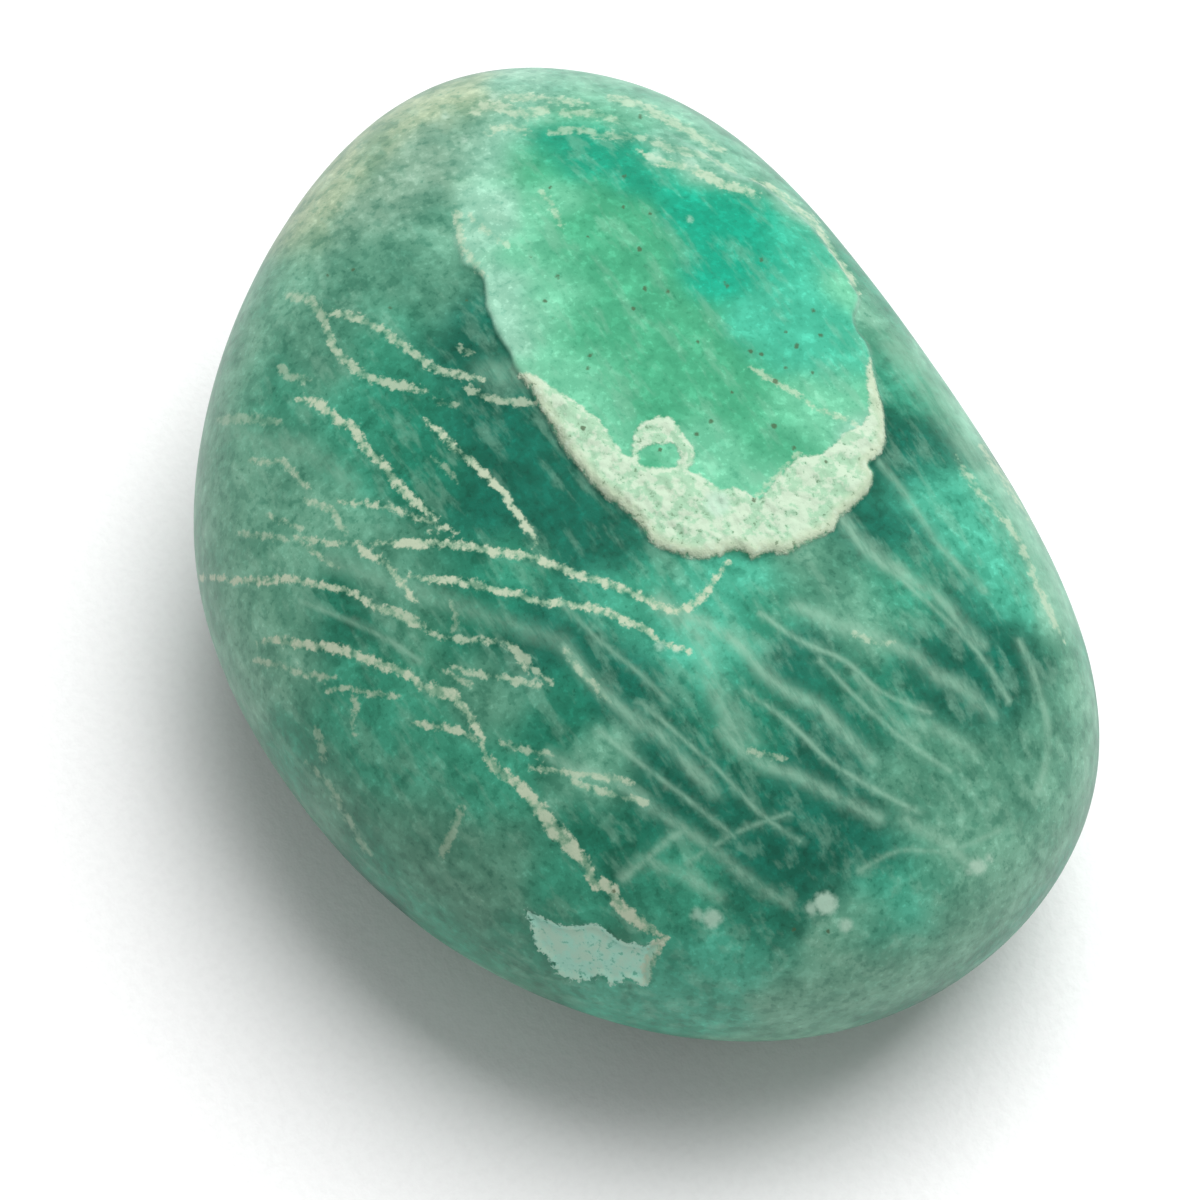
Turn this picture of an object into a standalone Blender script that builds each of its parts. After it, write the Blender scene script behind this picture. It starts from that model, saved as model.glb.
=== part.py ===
"""Palm stone of green feldspar: one tumbled pebble that rests on a small flat spot.

Metres, +Z up. The origin is on the flat spot, under the middle of the stone's box, and the long axis is X.
The stone is one solid: a worn block with a raised tongue of harder mineral on its back, a lumpy crust along
the tongue's edge, a shallow flake scar near one end and the slight dents of hand polishing all over.
"""

from math import cos, radians, sin

import bmesh
import bpy
from mathutils import Vector, noise

NAME = "amazonite_palm_stone"
MM = 0.001

# Driving dimensions of the worn form, from the flat spot up to the back beside the tongue
LENGTH = 62.0 * MM
WIDTH = 43.0 * MM
THICKNESS = 24.6 * MM
SPOT_DEPTH = 0.22 * MM

# The worn form: an ellipsoid pressed by flats, each one an azimuth, an elevation and a distance from the
# middle. A higher sharpness makes tighter shoulders where two of them meet.
SEMI_AXES = (34.5 * MM, 25.0 * MM, 13.9 * MM)
SHARPNESS = 8
FLATS = (
    (89, 4, 18.5 * MM),
    (132, 0, 31.0 * MM),
    (195, 0, 33.0 * MM),
    (223, 0, 28.0 * MM),
    (325, 0, 34.0 * MM),
    (7, 0, 34.0 * MM),
    (52, 0, 30.0 * MM),
    (60, 86, 13.7 * MM),
    (250, -89, 12.9 * MM),
)

# Dents left by hand polishing
DENT_HEIGHT = 0.12 * MM
DENT_SPACING = 14.0 * MM

# The raised tongue, seen from above: its corners in order, round which its edge runs as a smooth curve
TONGUE_CORNERS = tuple(Vector((x * MM, y * MM)) for x, y in (
    (-17.0, 1.0), (-13.5, -0.5), (-8.0, -1.5), (-1.5, -2.0), (3.5, -1.5), (8.0, 0.0), (9.5, 3.0), (11.0, 5.0),
    (10.0, 8.5), (9.0, 12.0), (7.0, 14.0), (2.5, 16.0), (-1.0, 16.5), (-10.0, 15.0), (-16.0, 12.0),
    (-21.5, 9.0), (-22.0, 5.0),
))
TONGUE_RISE = 0.28 * MM
LEDGE_WIDTH = 0.8 * MM
FADE_START_X = -12.0 * MM
FADE_END_X = -19.0 * MM

# The crust that lies along the tongue's lower edge
CRUST_RISE = 0.26 * MM
CRUST_INSET = 1.1 * MM
CRUST_REACH = 1.6 * MM
CRUST_LUMP = 2.6 * MM
CRUST_KNOB = 1.1 * MM
CRUST_START_X = -6.0 * MM
CRUST_FULL_X = 1.0 * MM

# The flake scar on the low flank at the +X end
SCAR_MIDDLE = Vector((22.0 * MM, -13.0 * MM, 15.8 * MM))
SCAR_ALONG = Vector((0.72, 0.62, -0.30)).normalized()
SCAR_HALF_LENGTH = 4.0 * MM
SCAR_HALF_HEIGHT = 2.0 * MM
SCAR_DEPTH = 0.3 * MM

# Mesh fineness
BALL_LEVEL = 5
CURVE_STEPS = 5
COARSE_BAND = 1.9 * MM
FINE_BAND = 1.0 * MM
SAME_POINT = 0.02 * MM

# Finish
STONE_COLOUR = (0.062, 0.330, 0.215, 1.0)
STONE_ROUGHNESS = 0.3


def direction(azimuth, elevation):
    """The unit vector at an azimuth from +X and an elevation above level, in degrees."""
    a, e = radians(azimuth), radians(elevation)
    return Vector((cos(e) * cos(a), cos(e) * sin(a), sin(e)))


PRESSED = tuple((direction(azimuth, elevation), distance) for azimuth, elevation, distance in FLATS)


def fullness(point):
    """How far out a point is in the worn form: below 1 inside, 1 on the surface."""
    oval = sum((c / semi) ** 2 for c, semi in zip(point, SEMI_AXES))
    total = oval ** (SHARPNESS / 2)
    for normal, distance in PRESSED:
        total += max(0.0, normal.dot(point) / distance) ** SHARPNESS
    return total ** (1 / SHARPNESS)


def outward(point):
    """The worn form's outward unit normal at a point."""
    oval = sum((c / semi) ** 2 for c, semi in zip(point, SEMI_AXES))
    pull = oval ** (SHARPNESS / 2 - 1)
    total = Vector([pull * c / semi ** 2 for c, semi in zip(point, SEMI_AXES)])
    for normal, distance in PRESSED:
        total += normal * (max(0.0, normal.dot(point) / distance) ** (SHARPNESS - 1) / distance)
    return total.normalized()


def smooth_step(low, high, value):
    """0 up to low, 1 from high, and a smooth rise between; low may be the larger one."""
    t = min(1.0, max(0.0, (value - low) / (high - low)))
    return t * t * (3 - 2 * t)


def closed_curve(corners, steps):
    """A smooth closed curve through the corners, as points."""
    points = []
    count = len(corners)
    for i in range(count):
        a, b, c, d = (corners[(i + shift) % count] for shift in (-1, 0, 1, 2))
        for step in range(steps):
            t = step / steps
            points.append(0.5 * (2 * b + (c - a) * t + (2 * a - 5 * b + 4 * c - d) * t ** 2
                                 + (3 * b - a - 3 * c + d) * t ** 3))
    return points


TONGUE_EDGE = closed_curve(TONGUE_CORNERS, CURVE_STEPS)


def inset_from_edge(place):
    """Distance from the tongue's edge, seen from above: positive inside, negative outside."""
    nearest = LENGTH
    inside = False
    for start, end in zip(TONGUE_EDGE, TONGUE_EDGE[1:] + TONGUE_EDGE[:1]):
        along = end - start
        share = min(1.0, max(0.0, (place - start).dot(along) / along.length_squared))
        nearest = min(nearest, (place - start - along * share).length)
        if (start.y > place.y) != (end.y > place.y):
            crossing = start.x + along.x * (place.y - start.y) / along.y
            inside = inside != (place.x < crossing)
    return nearest if inside else -nearest


def tongue_relief(place):
    """Height of the tongue and its crust over the worn form, seen from above."""
    inset = inset_from_edge(place)
    if inset < -LEDGE_WIDTH:
        return 0.0
    rise = TONGUE_RISE * smooth_step(-LEDGE_WIDTH / 2, LEDGE_WIDTH / 2, inset)
    rise *= smooth_step(FADE_END_X, FADE_START_X, place.x)
    bank = max(0.0, 1 - ((inset - CRUST_INSET) / CRUST_REACH) ** 2)
    spot = place.to_3d()
    lump = 0.6 + noise.noise(spot / CRUST_LUMP) + 0.4 * noise.noise(spot / CRUST_KNOB)
    crust = CRUST_RISE * bank * lump * smooth_step(CRUST_START_X, CRUST_FULL_X, place.x)
    return rise + crust


def scar_relief(place, normal):
    """Depth of the flake scar below the worn form: crisp at its lower rim, running out at the top."""
    offset = place - SCAR_MIDDLE
    across = normal.cross(SCAR_ALONG).normalized()
    along_share = offset.dot(SCAR_ALONG) / SCAR_HALF_LENGTH
    across_share = offset.dot(across) / SCAR_HALF_HEIGHT
    spread = along_share ** 2 + across_share ** 2
    if spread >= 1 or offset.length > 2 * SCAR_HALF_LENGTH:
        return 0.0
    return -SCAR_DEPTH * smooth_step(0.0, 0.35, 1 - spread) * smooth_step(1.2, -0.6, across_share)


def worn_point(from_middle):
    """The point of the worn form on the ray from its middle through a point."""
    return from_middle / fullness(from_middle)


class Placing:
    """Puts the worn form in its own box: long axis on X, the flat spot's plane at z = 0."""

    def __init__(self, mesh):
        points = [worn_point(vertex.co) for vertex in mesh.verts]
        self.low = Vector([min(p[axis] for p in points) for axis in range(3)])
        high = Vector([max(p[axis] for p in points) for axis in range(3)])
        size = (LENGTH, WIDTH, THICKNESS + SPOT_DEPTH)
        self.scale = Vector([want / (top - bottom) for want, top, bottom in zip(size, high, self.low)])
        self.corner = Vector((-LENGTH / 2, -WIDTH / 2, -SPOT_DEPTH))

    def place(self, point):
        return self.corner + (point - self.low) * self.scale


def stone_point(from_middle, placing):
    """A point of the finished surface: the worn form, its dents, the tongue and the flake scar."""
    raw = worn_point(from_middle)
    normal = outward(raw)
    place = placing.place(raw)
    height = DENT_HEIGHT * noise.noise(place / DENT_SPACING)
    if normal.z > 0:
        height += tongue_relief(place.xy)
    height += scar_relief(place, normal)
    return place + normal * height


def refine(mesh, placing, band):
    """Halves the edges that lie within a band of the tongue's ledge, in its crust or in the flake scar."""
    chosen = []
    for edge in mesh.edges:
        middle = worn_point((edge.verts[0].co + edge.verts[1].co) / 2)
        place = placing.place(middle)
        near_scar = (place - SCAR_MIDDLE).length < SCAR_HALF_LENGTH + band / 2
        near_ledge = False
        if outward(middle).z > 0 and place.x > FADE_END_X:
            reach = CRUST_REACH if place.x > CRUST_START_X else 0.0
            near_ledge = -band < inset_from_edge(place.xy) < band + reach
        if near_ledge or near_scar:
            chosen.append(edge)
    bmesh.ops.subdivide_edges(mesh, edges=chosen, cuts=1, use_grid_fill=True)
    bmesh.ops.triangulate(mesh, faces=mesh.faces)


def cut_flat_spot(mesh):
    """Cuts the underside off flat at z = 0 and closes it with one face."""
    for vertex in mesh.verts:
        if abs(vertex.co.z) < SAME_POINT:
            vertex.co.z = 0.0
    everything = mesh.verts[:] + mesh.edges[:] + mesh.faces[:]
    bmesh.ops.bisect_plane(mesh, geom=everything, dist=SAME_POINT / 10, plane_co=(0, 0, 0), plane_no=(0, 0, 1),
                           clear_inner=True)
    rim = [edge for edge in mesh.edges if edge.is_boundary]
    bmesh.ops.holes_fill(mesh, edges=rim, sides=0)


def make_stone():
    """The stone's mesh, from a ball flattened to the stone's proportions."""
    mesh = bmesh.new()
    bmesh.ops.create_icosphere(mesh, subdivisions=BALL_LEVEL, radius=0.5)
    bmesh.ops.scale(mesh, vec=(LENGTH, WIDTH, THICKNESS), verts=mesh.verts)
    placing = Placing(mesh)
    for band in (COARSE_BAND, FINE_BAND):
        refine(mesh, placing, band)
    for vertex in mesh.verts:
        vertex.co = stone_point(vertex.co, placing)
    cut_flat_spot(mesh)
    bmesh.ops.recalc_face_normals(mesh, faces=mesh.faces)
    data = bpy.data.meshes.new(NAME)
    mesh.to_mesh(data)
    mesh.free()
    data.shade_smooth()
    return data


def polished_feldspar():
    """Polished blue-green stone."""
    material = bpy.data.materials.new("polished_amazonite")
    material.use_nodes = True
    surface = material.node_tree.nodes["Principled BSDF"]
    surface.inputs["Base Color"].default_value = STONE_COLOUR
    surface.inputs["Roughness"].default_value = STONE_ROUGHNESS
    surface.inputs["Metallic"].default_value = 0.0
    return material


for old in list(bpy.data.objects):
    bpy.data.objects.remove(old, do_unlink=True)

parts = bpy.data.collections.new("palm_stone")
bpy.context.scene.collection.children.link(parts)
stone = bpy.data.objects.new(NAME, make_stone())
stone.data.materials.append(polished_feldspar())
parts.objects.link(stone)
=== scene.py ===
import random
from math import cos, radians, sin

import bmesh
import bpy
import numpy as np
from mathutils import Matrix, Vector, noise


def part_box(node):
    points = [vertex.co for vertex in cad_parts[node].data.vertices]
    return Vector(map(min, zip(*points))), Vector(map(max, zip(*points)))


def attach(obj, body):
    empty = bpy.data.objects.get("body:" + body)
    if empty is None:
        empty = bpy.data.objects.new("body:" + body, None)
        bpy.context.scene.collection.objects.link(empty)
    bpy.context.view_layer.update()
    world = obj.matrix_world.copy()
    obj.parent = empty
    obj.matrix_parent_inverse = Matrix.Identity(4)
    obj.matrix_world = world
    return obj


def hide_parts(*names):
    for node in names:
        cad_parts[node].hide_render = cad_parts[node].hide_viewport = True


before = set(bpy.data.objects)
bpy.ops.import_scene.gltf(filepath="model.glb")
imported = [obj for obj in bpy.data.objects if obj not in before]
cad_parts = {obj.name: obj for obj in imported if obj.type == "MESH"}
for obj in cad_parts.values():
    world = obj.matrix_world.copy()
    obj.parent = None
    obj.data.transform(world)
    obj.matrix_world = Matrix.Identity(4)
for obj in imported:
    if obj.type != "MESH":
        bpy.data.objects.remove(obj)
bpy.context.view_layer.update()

# Floor
# A sheet of white board under the stone, matt, with a faint paper grain that shows in the shadow.
MM = 0.001
FLOOR_HALF_SIDE = 1.5
BOARD_WHITE = (0.86, 0.86, 0.86, 1.0)
BOARD_SHADE = (0.84, 0.84, 0.84, 1.0)
BOARD_ROUGHNESS = 0.9
BOARD_GRAIN_PER_METRE = 1800.0
BOARD_GRAIN_SHOWS = (0.4, 0.7)
BOARD_GRAIN_DEPTH = 0.10 * MM
BOARD_GRAIN_STRENGTH = 0.5


def add_node(tree, kind, **sockets):
    """A node of a material, with its sockets' values by name (spaces written as underscores)."""
    made = tree.nodes.new(kind)
    for name, value in sockets.items():
        made.inputs[name.replace("_", " ")].default_value = value
    return made


def add_noise(tree, place, per_metre, detail=4.0, roughness=0.55):
    """A noise value over the places, so many lumps to the metre."""
    made = add_node(tree, "ShaderNodeTexNoise", Scale=per_metre, Detail=detail, Roughness=roughness)
    tree.links.new(place, made.inputs["Vector"])
    return made.outputs["Fac"]


def rise(tree, value, low, high, to_low=0.0, to_high=1.0):
    """A value that rises smoothly between two limits; the low limit may be the larger one."""
    made = add_node(tree, "ShaderNodeMapRange", From_Min=low, From_Max=high, To_Min=to_low, To_Max=to_high)
    made.interpolation_type = "SMOOTHSTEP"
    tree.links.new(value, made.inputs["Value"])
    return made.outputs["Result"]


def blend_colours(tree, share, under, over, way="MIX"):
    """One colour laid over another by a share; either may be a socket or a plain colour."""
    made = tree.nodes.new("ShaderNodeMix")
    made.data_type = "RGBA"
    made.blend_type = way
    for socket, value in ((made.inputs[0], share), (made.inputs[6], under), (made.inputs[7], over)):
        if isinstance(value, bpy.types.NodeSocket):
            tree.links.new(value, socket)
        else:
            socket.default_value = value
    return made.outputs[2]


def add_bump(tree, height, distance, strength):
    """A bump from a height value."""
    made = add_node(tree, "ShaderNodeBump", Strength=strength, Distance=distance)
    tree.links.new(height, made.inputs["Height"])
    return made.outputs["Normal"]


def white_board():
    """Matt white board."""
    material = bpy.data.materials.new("white_board")
    material.use_nodes = True
    tree = material.node_tree
    surface = tree.nodes["Principled BSDF"]
    surface.inputs["Roughness"].default_value = BOARD_ROUGHNESS
    place = tree.nodes.new("ShaderNodeTexCoord").outputs["Object"]
    grain = add_noise(tree, place, BOARD_GRAIN_PER_METRE, detail=2.0)
    shade = blend_colours(tree, rise(tree, grain, *BOARD_GRAIN_SHOWS), BOARD_WHITE, BOARD_SHADE)
    tree.links.new(shade, surface.inputs["Base Color"])
    bump = add_bump(tree, grain, BOARD_GRAIN_DEPTH, BOARD_GRAIN_STRENGTH)
    tree.links.new(bump, surface.inputs["Normal"])
    return material


board_mesh = bmesh.new()
bmesh.ops.create_grid(board_mesh, x_segments=1, y_segments=1, size=FLOOR_HALF_SIDE)
board = bpy.data.objects.new("floor_board", bpy.data.meshes.new("floor_board"))
board_mesh.to_mesh(board.data)
board_mesh.free()
board.data.materials.append(white_board())
bpy.context.scene.collection.objects.link(board)

# Camera and lights
# A camera that looks down on the stone at the photograph's angle, one large soft light over the far right
# of the picture and white light all round.
CAMERA_AZIMUTH = radians(59.7)
CAMERA_ELEVATION = radians(60.0)
CAMERA_TARGET = Vector((2.65, -1.35, 12.5)) * MM
CAMERA_DISTANCE = 220.0 * MM
CAMERA_LENS = 120.0
CAMERA_SENSOR = 36.0
CAMERA_NEAR = 10.0 * MM
PICTURE_SIDE = 1200
PICTURE_RIGHT = Vector((cos(CAMERA_AZIMUTH), sin(CAMERA_AZIMUTH), 0.0))
PICTURE_FAR = Vector((-sin(CAMERA_AZIMUTH), cos(CAMERA_AZIMUTH), 0.0))
CAMERA_BACK = -PICTURE_FAR * cos(CAMERA_ELEVATION) + Vector((0.0, 0.0, sin(CAMERA_ELEVATION)))
PICTURE_UP = CAMERA_BACK.cross(PICTURE_RIGHT)
CAMERA_PLACE = CAMERA_TARGET + CAMERA_BACK * CAMERA_DISTANCE
LIGHT_FAR = 0.38
LIGHT_RIGHT = 0.28
STRAIGHT_UP = Vector((0.0, 0.0, 1.0))
LIGHT_TOWARDS = (PICTURE_FAR * LIGHT_FAR + PICTURE_RIGHT * LIGHT_RIGHT + STRAIGHT_UP).normalized()
LIGHT_DISTANCE = 0.6
LIGHT_SIDE = 0.50
LIGHT_WATTS = 4.9
ROOM_LIGHT = 0.42
ROOM_WHITE = (1.0, 1.0, 1.0, 1.0)

camera = bpy.data.objects.new("camera", bpy.data.cameras.new("camera"))
camera.data.lens = CAMERA_LENS
camera.data.sensor_width = CAMERA_SENSOR
camera.data.clip_start = CAMERA_NEAR
camera.location = CAMERA_PLACE
camera.rotation_euler = CAMERA_BACK.to_track_quat("Z", "Y").to_euler()
bpy.context.scene.collection.objects.link(camera)
bpy.context.scene.camera = camera

soft_light = bpy.data.objects.new("soft_light", bpy.data.lights.new("soft_light", "AREA"))
soft_light.data.size = LIGHT_SIDE
soft_light.data.energy = LIGHT_WATTS
soft_light.location = CAMERA_TARGET + LIGHT_TOWARDS * LIGHT_DISTANCE
soft_light.rotation_euler = LIGHT_TOWARDS.to_track_quat("Z", "Y").to_euler()
soft_light.visible_glossy = False
bpy.context.scene.collection.objects.link(soft_light)

room = bpy.data.worlds.new("white_room")
room.use_nodes = True
room.node_tree.nodes["Background"].inputs["Color"].default_value = ROOM_WHITE
room.node_tree.nodes["Background"].inputs["Strength"].default_value = ROOM_LIGHT
bpy.context.scene.world = room
bpy.context.scene.view_settings.view_transform = "Standard"

# The worn pebble
# A lump of blue-green feldspar tumbled round and polished by hand: an ellipsoid pressed by flats, with
# slight dents all over. The places of its markings are found in the photograph's own pixels.
STONE = "amazonite_palm_stone"
STONE_LOW, STONE_HIGH = (np.array(corner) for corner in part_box(STONE))
LENGTH = 62.0 * MM
WIDTH = 43.0 * MM
THICKNESS = 24.6 * MM
SPOT_DEPTH = 0.22 * MM
FORM_SIZE = np.array((LENGTH, WIDTH, THICKNESS + SPOT_DEPTH))
SEMI_AXES = np.array((34.5, 25.0, 13.9)) * MM
SHARPNESS = 8
FLATS = (
    (89, 4, 18.5), (132, 0, 31.0), (195, 0, 33.0), (223, 0, 28.0), (325, 0, 34.0), (7, 0, 34.0),
    (52, 0, 30.0), (60, 86, 13.7), (250, -89, 12.9),
)
DENT_HEIGHT = 0.12 * MM
DENT_SPACING = 14.0 * MM
RIPPLE_HEIGHT = 0.02 * MM
RIPPLE_SPACING = 3.0 * MM
BALL_LEVEL = 7
PIXELS_PER_MM = 18.0
SHORTEST_RUN = 1e-12

# Insets from an outline are in millimetres, and no lower than this outside it
FAR_OUT = 2.0


def direction(azimuth, elevation):
    """The unit vector at an azimuth from +X and an elevation above level, in degrees."""
    a, e = radians(azimuth), radians(elevation)
    return cos(e) * cos(a), cos(e) * sin(a), sin(e)


PRESS_WAYS = np.array([direction(azimuth, elevation) for azimuth, elevation, _ in FLATS])
PRESS_DISTANCES = np.array([distance for _, _, distance in FLATS]) * MM


def fullness(points):
    """How far out each point is in the worn form: 1 on its surface."""
    oval = ((points / SEMI_AXES) ** 2).sum(axis=1)
    pressed = np.maximum(0.0, points @ PRESS_WAYS.T / PRESS_DISTANCES) ** SHARPNESS
    return (oval ** (SHARPNESS / 2) + pressed.sum(axis=1)) ** (1 / SHARPNESS)


def outward(points):
    """The worn form's outward unit normals."""
    oval = ((points / SEMI_AXES) ** 2).sum(axis=1)
    total = (oval ** (SHARPNESS / 2 - 1))[:, None] * points / SEMI_AXES ** 2
    pressed = np.maximum(0.0, points @ PRESS_WAYS.T / PRESS_DISTANCES) ** (SHARPNESS - 1) / PRESS_DISTANCES
    total = total + pressed @ PRESS_WAYS
    return total / np.linalg.norm(total, axis=1)[:, None]


def noise_at(places, spacing):
    """Smooth noise between about -1 and 1 at each place."""
    return np.array([noise.noise(Vector(place)) for place in places / spacing])


def smooth_step(low, high, value):
    """0 up to low, 1 from high, and a smooth rise between; low may be the larger one."""
    t = np.clip((value - low) / (high - low), 0.0, 1.0)
    return t * t * (3 - 2 * t)


def pixels_of(places):
    """Where each place falls in the photograph, in pixels."""
    from_camera = places - np.array(CAMERA_PLACE)
    depth = -(from_camera @ np.array(CAMERA_BACK))
    focal = CAMERA_LENS / CAMERA_SENSOR * PICTURE_SIDE
    across = from_camera @ np.array(PICTURE_RIGHT) / depth * focal + PICTURE_SIDE / 2
    down = PICTURE_SIDE / 2 - from_camera @ np.array(PICTURE_UP) / depth * focal
    return np.stack((across, down), axis=1)


def facing_camera(places, normals):
    """How squarely each place faces the photograph's camera: 0 at the outline and negative behind it."""
    ray = np.array(CAMERA_PLACE) - places
    return (normals * ray).sum(axis=1) / np.linalg.norm(ray, axis=1)


def curve_through(corners, steps, closed=False):
    """A smooth curve through the corners, as points in a plane or in space."""
    corners = np.array(corners, dtype=float)
    count = len(corners)
    last = count if closed else count - 1
    points = []
    for i in range(last):
        if closed:
            a, b, c, d = (corners[(i + shift) % count] for shift in (-1, 0, 1, 2))
        else:
            a, b, c, d = (corners[min(count - 1, max(0, i + shift))] for shift in (-1, 0, 1, 2))
        for step in range(steps):
            t = step / steps
            points.append(0.5 * (2 * b + (c - a) * t + (2 * a - 5 * b + 4 * c - d) * t ** 2
                                 + (3 * b - a - 3 * c + d) * t ** 3))
    if not closed:
        points.append(corners[-1])
    return np.array(points)


def distance_to_path(places, path):
    """Distance from each place to a path, and how far along it the nearest point lies (0 to 1)."""
    starts, runs = path[:-1], path[1:] - path[:-1]
    offset = places[:, None, :] - starts[None, :, :]
    share = (offset * runs).sum(axis=2) / np.maximum((runs * runs).sum(axis=1), SHORTEST_RUN)
    share = np.clip(share, 0.0, 1.0)
    gap = np.linalg.norm(offset - share[:, :, None] * runs, axis=2)
    nearest = gap.argmin(axis=1)
    rows = np.arange(len(places))
    return gap[rows, nearest], (nearest + share[rows, nearest]) / len(runs)


def rows_near(places, path, reach):
    """The rows of the places that lie within a reach of a path's box."""
    return np.nonzero(((places > path.min(0) - reach) & (places < path.max(0) + reach)).all(axis=1))[0]


def inset_from(places, corners, steps=4):
    """Signed distance from a closed outline in pixels, in millimetres: positive inside, down to -FAR_OUT."""
    edge = curve_through(corners, steps, closed=True)
    ring = np.vstack((edge, edge[:1]))
    inset = np.full(len(places), -FAR_OUT)
    near = rows_near(places, edge, FAR_OUT * PIXELS_PER_MM)
    spots = places[near]
    gap, _ = distance_to_path(spots, ring)
    inside = np.zeros(len(spots), dtype=bool)
    for start, end in zip(ring[:-1], ring[1:]):
        if start[1] == end[1]:
            continue
        crosses = (start[1] > spots[:, 1]) != (end[1] > spots[:, 1])
        at = start[0] + (end[0] - start[0]) * (spots[:, 1] - start[1]) / (end[1] - start[1])
        inside ^= crosses & (spots[:, 0] < at)
    inset[near] = np.where(inside, gap, -gap) / PIXELS_PER_MM
    return np.maximum(inset, -FAR_OUT)


stone_mesh = bmesh.new()
bmesh.ops.create_icosphere(stone_mesh, subdivisions=BALL_LEVEL, radius=0.5)
bmesh.ops.scale(stone_mesh, vec=FORM_SIZE, verts=stone_mesh.verts)


def points_of(mesh):
    """The mesh's vertices as an array."""
    return np.array([vertex.co for vertex in mesh.verts])


def worn(points):
    """The points of the worn form on the rays from its middle."""
    return points / fullness(points)[:, None]


form_points = worn(points_of(stone_mesh))
form_low = form_points.min(axis=0)
form_scale = FORM_SIZE / (form_points.max(axis=0) - form_low)
form_corner = np.array((-FORM_SIZE[0] / 2, -FORM_SIZE[1] / 2, -SPOT_DEPTH))


def placed(raw):
    """The worn form's points in its own box, long axis on X and the flat spot's plane at z = 0."""
    return form_corner + (raw - form_low) * form_scale


# The emerald tongue
# A layer of clearer, harder feldspar on the back of the stone, worn less than the rest, so that it stands a
# little proud behind a ragged ledge. Its outline is given in the photograph's pixels.
TONGUE_OUTLINE = (
    (454, 202), (454, 221), (458, 242), (464, 259), (476, 266), (484, 282), (487, 305), (497, 328),
    (509, 349), (517, 368), (530, 384), (539, 403), (552, 425), (565, 448), (581, 467), (600, 489),
    (622, 505), (638, 521), (655, 541), (679, 551), (708, 556), (738, 548), (753, 557), (770, 549),
    (787, 551), (803, 542), (834, 527), (840, 515), (856, 502), (869, 489), (874, 473), (869, 460),
    (880, 452), (886, 438), (886, 420), (883, 403), (878, 384), (875, 368), (872, 352), (867, 339),
    (858, 327), (855, 312), (859, 293), (847, 272), (831, 247), (812, 223), (792, 205), (765, 184),
    (729, 168), (700, 146), (655, 120), (600, 101), (540, 92), (490, 106), (462, 150),
)
TONGUE_RISE = 0.28 * MM
LEDGE_WIDTH = 0.5
LEDGE_RAG = 0.10
FADE_START_X = -12.0 * MM
FADE_END_X = -19.0 * MM
TONGUE_MELT = 16.0
MELT_START = 270.0
MELT_FULL = 130.0

# The crust
# A rim of white, crumbly feldspar where the tongue ends, knobbly and pitted, and chalkier than the
# polished stone.
CRUST_OUTLINE = (
    (517, 372), (530, 386), (539, 404), (552, 426), (565, 449), (581, 468), (600, 490), (622, 506),
    (638, 522), (655, 542), (679, 552), (708, 557), (738, 549), (753, 558), (770, 550), (787, 552),
    (803, 543), (834, 528), (840, 516), (856, 503), (869, 490), (874, 474), (869, 461), (881, 452),
    (887, 438), (886, 420), (884, 400), (877, 378), (872, 352), (866, 372), (868, 394), (868, 412),
    (860, 424), (848, 429), (833, 442), (820, 452), (801, 454), (789, 464), (778, 475), (759, 496),
    (738, 486), (720, 487), (702, 474), (690, 468), (697, 451), (683, 430), (671, 415), (655, 415),
    (638, 424), (632, 441), (629, 455), (612, 436), (602, 421), (577, 401), (552, 385), (534, 373),
)
RING_HOLLOW = ((641, 462), (640, 450), (650, 443), (662, 444), (672, 441), (680, 452), (674, 464), (658, 466))
CRUST_RISE = 0.20 * MM
CRUST_LUMP = 2.6 * MM
CRUST_KNOB = 0.9 * MM
CRUST_GRIT = 0.35 * MM
CRUST_SHOULDER = (-0.1, 0.6)
CRUST_FLOOR = 0.7
KNOB_SHARE = 0.8
GRIT_SHARE = 0.5
GRIT_RAG = 0.05

# The flake scar
# A chip knocked off the low flank and then only half polished: pale, satin, with a crisp lower rim.
SCAR_OUTLINE = (
    (524, 908), (532, 924), (536, 947), (548, 958), (556, 972), (569, 979), (589, 981), (599, 976),
    (612, 984), (628, 980), (648, 986), (650, 968), (653, 956), (663, 939), (645, 945), (622, 941),
    (608, 931), (592, 923), (569, 926), (545, 918),
)
SCAR_DEPTH = 0.22 * MM
SCAR_WALL = (-0.05, 0.35)

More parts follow.
